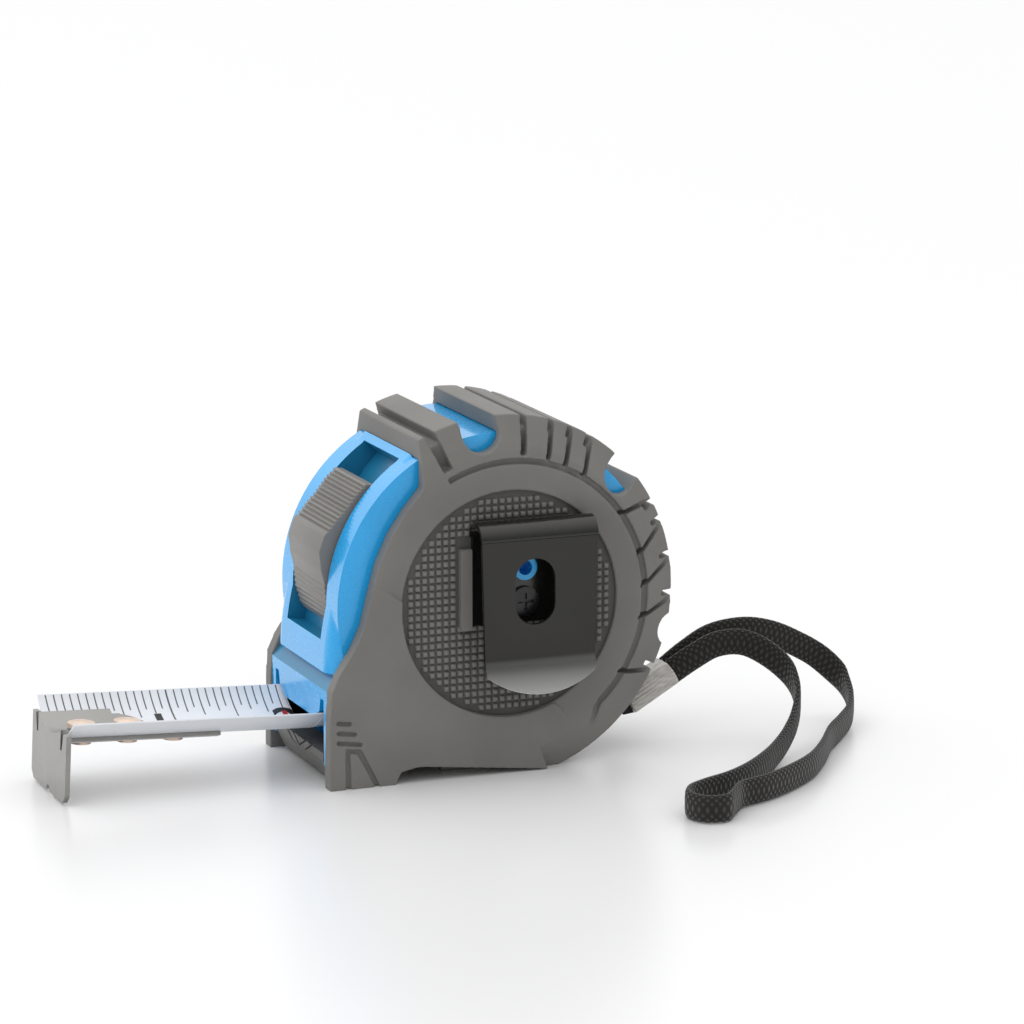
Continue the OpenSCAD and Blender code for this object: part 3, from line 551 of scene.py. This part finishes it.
def buttonOutline():
    # the cap's side profile, with the ribs drawn in
    cx, cz = button["centre"]
    points = [polar(cx, cz, button["floor"], button["from"] + button["topCut"])]
    for k in range(button["steps"] + 1):
        a = button["from"] + (button["to"] - button["from"]) * k / button["steps"]
        dip = (ribDip(a, button["ribFrom"], button["ribSpan"], button["ribs"], button["ribDepth"])
               + ribDip(a, button["tailFrom"], button["tailSpan"], button["tailRibs"], button["tailDepth"]))
        points.append(polar(cx, cz, button["radius"] + buttonRise(a) - dip, a))
    points.append(polar(cx, cz, button["floor"], button["to"]))
    return points


def makeButton():
    bm = bmesh.new()
    face = outline(bm, buttonOutline(), "xz", -button["half"])
    extrudeFace(bm, face, (0, 2 * button["half"], 0))
    rims = [e for e in bm.edges if abs(e.verts[0].co.y - e.verts[1].co.y) < 1e-7]
    bmesh.ops.bevel(bm, geom=rims, offset=button["rimRound"] * mm, affect="EDGES", segments=3, profile=0.5,
                    material=-1, clamp_overlap=True)
    obj = linkMesh("thumbButtonRibbed", bm)
    shadeByAngle(obj, 38)
    setMaterial(obj, materials["buttonPlastic"])
    place(obj, "lock", "grey_plastic", "lock_button")


makeButton()
# the slider deep in the track takes the same darker teal blue, partly painted shade
setMaterial(nodes["lock_slider"], materials["tealWithPaintedShade"])
setMaterial(nodes["brake_pad"], materials["padRubber"])
print("button made")


# blade print: ticks and numerals laid on the hollow face
blade = {"mouthX": -36.0, "edgeZ": 13.5, "lean": 2.8, "radius": 17.0, "width": 27.0, "thick": 0.3,
         "tail": 0.5, "inch": 25.4, "zeroAt": -48.45}
ticks = {"lengths": {16: 9.6, 8: 8.2, 4: 7.2, 2: 6.1, 1: 4.8}, "width": 0.24, "inchWidth": 0.32,
         "margin": 0.15, "nearShare": 0.8, "tailGap": 0.3, "cutStep": 1.5, "lift": 0.004}
numerals = {"size": 12.0, "back": 3.0, "across": 2.6, "thick": 0.01, "bolder": 0.12, "cutStep": 1.0,
            "redMark": (-0.9, 1.0, 3.6, 6.4)}
halfAngle = blade["width"] / 2 / blade["radius"]
sag = blade["radius"] * (1 - math.cos(halfAngle))
bladeTurn = (Matrix.Translation(Vector((blade["mouthX"], 0, blade["edgeZ"])) * mm)
             @ Matrix.Rotation(math.radians(blade["lean"]), 4, "Y"))


def wrapOnBlade(bm, lift):
    # flat print in x and arc length y, laid on the hollow upper face, then put in the blade's place
    r = blade["radius"] - blade["thick"] / 2 - lift
    for vert in bm.verts:
        x, s, up = vert.co.x / mm, vert.co.y / mm, vert.co.z / mm
        a = s / blade["radius"]
        vert.co = Vector((x, (r - up) * math.sin(a),
                          blade["radius"] - sag - (r - up) * math.cos(a))) * mm
    bmesh.ops.transform(bm, matrix=bladeTurn, verts=bm.verts)


def addMark(bm, x, width, s0, s1, height=0.02):
    # a thin raised bar across the blade, one box; the callers cut it into short lengths so that it can bend
    made = bmesh.ops.create_cube(bm, size=1.0)["verts"]
    for vert in made:
        vert.co = Vector((x + vert.co.x * width, (s0 + s1) / 2 + vert.co.y * (s1 - s0),
                          height * (vert.co.z + 0.5))) * mm


def bendCuts(bm, step):
    # lines along the blade, so that flat print can follow the hollow
    reach = blade["width"] / 2
    s = -reach
    while s < reach:
        bmesh.ops.bisect_plane(bm, geom=bm.verts[:] + bm.edges[:] + bm.faces[:], dist=1e-7,
                               plane_co=(0, s * mm, 0), plane_no=(0, 1, 0))
        s += step


def tickRow(bm, side, share):
    # sixteenths along one edge: side +1 is the far edge, -1 the near one
    edge = blade["width"] / 2
    k = 1
    while True:
        x = blade["zeroAt"] + k * blade["inch"] / 16
        if x > blade["tail"] - ticks["tailGap"]:
            return
        size = share * next(ticks["lengths"][n] for n in (16, 8, 4, 2, 1) if k % n == 0)
        width = ticks["inchWidth"] if side > 0 and k % 16 == 0 else ticks["width"]
        ends = sorted((side * (edge - ticks["margin"]), side * (edge - size)))
        addMark(bm, x, width, *ends)
        k += 1


def makeTicks():
    bm = bmesh.new()
    tickRow(bm, 1, 1.0)
    tickRow(bm, -1, ticks["nearShare"])
    bendCuts(bm, ticks["cutStep"])
    wrapOnBlade(bm, ticks["lift"])
    bmesh.ops.recalc_face_normals(bm, faces=bm.faces)
    obj = linkMesh("bladeTicks", bm, False)
    setMaterial(obj, materials["printGrey"])
    place(obj, "blade", "coated_blade")


def flatText(word, size):
    curve = bpy.data.curves.new("numeral" + word, "FONT")
    curve.body = word
    curve.size = size * mm
    curve.extrude = numerals["thick"] * mm
    curve.offset = numerals["bolder"] * mm
    curve.align_x = "CENTER"
    curve.align_y = "CENTER"
    obj = bpy.data.objects.new("numeral" + word, curve)
    scene.collection.objects.link(obj)
    bpy.context.view_layer.update()
    mesh = bpy.data.meshes.new_from_object(obj.evaluated_get(bpy.context.evaluated_depsgraph_get()))
    bpy.data.objects.remove(obj)
    bpy.data.curves.remove(curve)
    return mesh


def makeNumerals():
    bm = bmesh.new()
    for number in (1, 2):
        mesh = flatText(str(number), numerals["size"])
        x = blade["zeroAt"] + number * blade["inch"] - numerals["back"]
        mesh.transform(Matrix.Translation(Vector((x, numerals["across"], numerals["thick"])) * mm))
        bm.from_mesh(mesh)
        bpy.data.meshes.remove(mesh)
    bmesh.ops.remove_doubles(bm, verts=bm.verts, dist=1e-7)
    bendCuts(bm, numerals["cutStep"])
    wrapOnBlade(bm, ticks["lift"])
    bmesh.ops.recalc_face_normals(bm, faces=bm.faces)
    print("numeral faces", len(bm.faces))
    obj = linkMesh("bladeNumerals", bm, False)
    setMaterial(obj, materials["printBlack"])
    place(obj, "blade", "coated_blade")
    bm = bmesh.new()
    addMark(bm, *numerals["redMark"])
    bendCuts(bm, numerals["cutStep"])
    wrapOnBlade(bm, ticks["lift"])
    obj = linkMesh("bladeRedMark", bm, False)
    setMaterial(obj, materials["printRed"])
    place(obj, "blade", "coated_blade")


makeTicks()
makeNumerals()


def makeLead():
    obj = copyNode("blade_lead", "bladeLeadBending")
    for poly in obj.data.polygons:
        poly.use_smooth = True
    shadeByAngle(obj, 30)
    setMaterial(obj, materials["bladeCoat"])
    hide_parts("blade_lead")
    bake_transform(obj)


makeLead()
for name in ("blade_strip", "blade_coil"):
    setMaterial(nodes[name], materials["bladeCoat"])
print("blade made")


# end hook and its rivets
hook = {"round": 0.16}


def makeHook():
    obj = creasedCopy("end_hook", "endHookBent", hook["round"], 2)
    setMaterial(obj, materials["hookSteel"])
    place(obj, "hook", "hook_steel", "end_hook")


makeHook()
setMaterial(nodes["hook_backing_plate"], materials["hookSteel"])

rivets = {"first": -43.2, "gap": 9.0, "headRadius": 2.6, "dome": 1.0, "under": 0.25, "seat": -3.35}


def makeRivetHeads():
    # low domes over the tab
    bm = bmesh.new()
    for k in range(2):
        made = bmesh.ops.create_uvsphere(bm, u_segments=40, v_segments=20, radius=1.0)["verts"]
        for vert in made:
            z = vert.co.z * (rivets["dome"] if vert.co.z > 0 else rivets["under"])
            vert.co = Vector((rivets["first"] + rivets["gap"] * k + vert.co.x * rivets["headRadius"],
                              vert.co.y * rivets["headRadius"], rivets["seat"] + z)) * mm
    bmesh.ops.transform(bm, matrix=bladeTurn, verts=bm.verts)
    obj = linkMesh("rivetDomes", bm)
    setMaterial(obj, materials["rivetCopper"])
    place(obj, "blade", "copper_rivet")


makeRivetHeads()
setMaterial(nodes["hook_rivets"], materials["rivetCopper"])
print("hook made")


# belt clip, screws and inner pieces
# the bright lip colour is a painted reflection, lighter towards the bottom of the leaf
leaf = {"lipFrom": 17.4, "lipTo": 24.0, "paintedLipShine": (0.7, 0.7, 0.69), "dark": (0.05, 0.049, 0.047),
        "rough": 0.2, "metal": 0.9, "round": 0.15}


def leafMaterial():
    # black steel whose lower lip is painted bright: a painted reflection of the bright surroundings, fading to
    # the dark steel higher up
    material, tree, shader = newMaterial("leafSteel")
    source = tree.nodes.new("ShaderNodeTexCoord")
    split = tree.nodes.new("ShaderNodeSeparateXYZ")
    rise = tree.nodes.new("ShaderNodeMapRange")
    rise.inputs["From Min"].default_value = leaf["lipFrom"] * mm
    rise.inputs["From Max"].default_value = leaf["lipTo"] * mm
    tree.links.new(source.outputs["Object"], split.inputs[0])
    tree.links.new(split.outputs["Z"], rise.inputs["Value"])
    # painted reflection: bright below lipFrom, fading to the dark steel by lipTo
    rampTo(tree, rise.outputs["Result"], shader.inputs["Base Color"], leaf["paintedLipShine"], leaf["dark"], 0.0, 0.95)
    fine = noiseMap(tree, "Object", 2500, 2)
    bumpFrom(tree, fine.outputs["Fac"], shader, 0.04, 0.04)
    shader.inputs["Metallic"].default_value = leaf["metal"]
    shader.inputs["Roughness"].default_value = leaf["rough"]
    return material


materials["leafSteel"] = leafMaterial()


def makeClip():
    for nodeName, pieceName, body, finish in (("clip_base", "clipBaseBent", "case", "clipSteel"),
                                              ("clip_leaf", "clipLeafFlared", "clip", "leafSteel")):
        obj = creasedCopy(nodeName, pieceName, leaf["round"], 2)
        setMaterial(obj, materials[finish])
        place(obj, body, "black_steel", nodeName)


makeClip()
smallParts = {"clip_screw": "screwBlack", "case_screws": "screwBlack", "spindle_post": "plainSteel",
              "power_spring": "plainSteel", "strap_pin": "plainSteel", "reel_drum": "reelPlastic",
              "reel_cover": "reelPlastic", "nose_bumper": "bumperPlastic"}
for name, finish in smallParts.items():
    setMaterial(nodes[name], materials[finish])
print("clip and small parts made")


# floor and light
stage = {"floorColor": (0.94, 0.94, 0.945), "floorRough": 0.26, "tentSlope": (-0.08, 0.30, 0.80),
         "tentBase": 0.52, "tentLeast": 0.03, "seen": 1.05, "sunDirection": (0.45, 0.1, -0.9),
         "sunAngle": 50, "sunStrength": 0.18, "floorHalf": 6.0}


def makeFloor():
    bm = bmesh.new()
    bmesh.ops.create_grid(bm, x_segments=1, y_segments=1, size=stage["floorHalf"])
    obj = linkMesh("floor", bm, False)
    material, tree, shader = newMaterial("floorWhite")
    shader.inputs["Base Color"].default_value = (*stage["floorColor"], 1)
    shader.inputs["Roughness"].default_value = stage["floorRough"]
    obj.data.materials.append(material)


def sunLight(name, direction, angle, strength):
    data = bpy.data.lights.new(name, "SUN")
    data.energy = strength
    data.angle = math.radians(angle)
    obj = bpy.data.objects.new(name, data)
    scene.collection.objects.link(obj)
    obj.rotation_euler = Vector(direction).to_track_quat("-Z", "Y").to_euler()


def makeWorld():
    # a light tent: bright above and behind, dim in front
    world = bpy.data.worlds.new("studio")
    world.use_nodes = True
    scene.world = world
    tree = world.node_tree
    back = tree.nodes["Background"]
    back.inputs["Color"].default_value = (1, 1, 1, 1)
    source = tree.nodes.new("ShaderNodeTexCoord")
    slope = tree.nodes.new("ShaderNodeVectorMath")
    slope.operation = "DOT_PRODUCT"
    slope.inputs[1].default_value = stage["tentSlope"]
    lift = tree.nodes.new("ShaderNodeMath")
    lift.inputs[1].default_value = stage["tentBase"]
    least = tree.nodes.new("ShaderNodeMath")
    least.operation = "MAXIMUM"
    least.inputs[1].default_value = stage["tentLeast"]
    tree.links.new(source.outputs["Generated"], slope.inputs[0])
    tree.links.new(slope.outputs["Value"], lift.inputs[0])
    tree.links.new(lift.outputs["Value"], least.inputs[0])
    tree.links.new(least.outputs["Value"], back.inputs["Strength"])
    seen = tree.nodes.new("ShaderNodeBackground")
    seen.inputs["Color"].default_value = (1, 1, 1, 1)
    seen.inputs["Strength"].default_value = stage["seen"]
    rays = tree.nodes.new("ShaderNodeLightPath")
    mix = tree.nodes.new("ShaderNodeMixShader")
    tree.links.new(rays.outputs["Is Camera Ray"], mix.inputs[0])
    tree.links.new(back.outputs[0], mix.inputs[1])
    tree.links.new(seen.outputs[0], mix.inputs[2])
    tree.links.new(mix.outputs[0], tree.nodes["World Output"].inputs["Surface"])


makeFloor()
makeWorld()
sunLight("softSun", stage["sunDirection"], stage["sunAngle"], stage["sunStrength"])
scene.view_settings.view_transform = "Standard"
print("stage made")
